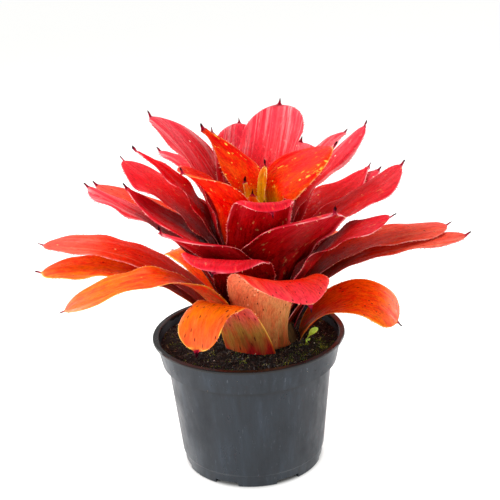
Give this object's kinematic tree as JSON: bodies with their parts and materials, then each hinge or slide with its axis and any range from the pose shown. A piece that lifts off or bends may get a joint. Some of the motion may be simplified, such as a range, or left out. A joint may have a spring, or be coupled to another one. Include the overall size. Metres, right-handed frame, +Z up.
{
  "type": "potted neoregelia bromeliad",
  "caption": "Rosette bromeliad with broad red and orange spine-edged strap leaves, growing in soil in a round plastic nursery pot.",
  "frame": {"origin": "centre of the flat base that the pot stands on", "axes": "+Z up along the pot's axis, -Y the pictured front, +X to the right in the picture; millimetre model stored in metres"},
  "size_m": [0.3667, 0.2805, 0.3026],
  "materials": {
    "pot_plastic": "satin, faint scuffs",
    "soil": "matte, crumbly",
    "stem": "matte",
    "seedling": "satin",
    "old_leaf": "satin, mottled orange",
    "leaf": "satin, crimson",
    "heart_leaf": "satin, scarlet with yellow spots"
  },
  "bodies": {
    "root": {"pot": "pot_plastic", "soil": "soil", "stem": "stem", "seedling": "seedling", "leaf_01": "old_leaf", "leaf_02": "old_leaf", "leaf_03": "old_leaf", "leaf_04": "old_leaf", "leaf_05": "old_leaf", "leaf_06": "old_leaf", "leaf_07": "old_leaf", "leaf_08": "old_leaf", "leaf_09": "old_leaf", "leaf_10": "old_leaf", "leaf_11": "leaf", "leaf_12": "leaf", "leaf_13": "leaf", "leaf_14": "leaf", "leaf_15": "leaf", "leaf_16": "leaf", "leaf_17": "leaf", "leaf_18": "leaf", "leaf_19": "leaf", "leaf_20": "leaf", "leaf_21": "leaf", "leaf_22": "leaf", "leaf_23": "leaf", "leaf_24": "leaf", "leaf_25": "leaf", "leaf_26": "leaf", "leaf_27": "leaf", "leaf_28": "leaf", "leaf_29": "leaf", "leaf_30": "leaf", "leaf_31": "leaf", "leaf_32": "leaf", "leaf_33": "leaf", "leaf_34": "leaf", "leaf_35": "heart_leaf", "leaf_36": "heart_leaf", "leaf_37": "heart_leaf", "leaf_38": "heart_leaf", "leaf_39": "heart_leaf", "leaf_40": "heart_leaf", "leaf_41": "heart_leaf", "leaf_42": "heart_leaf"}
  },
  "joints": []
}
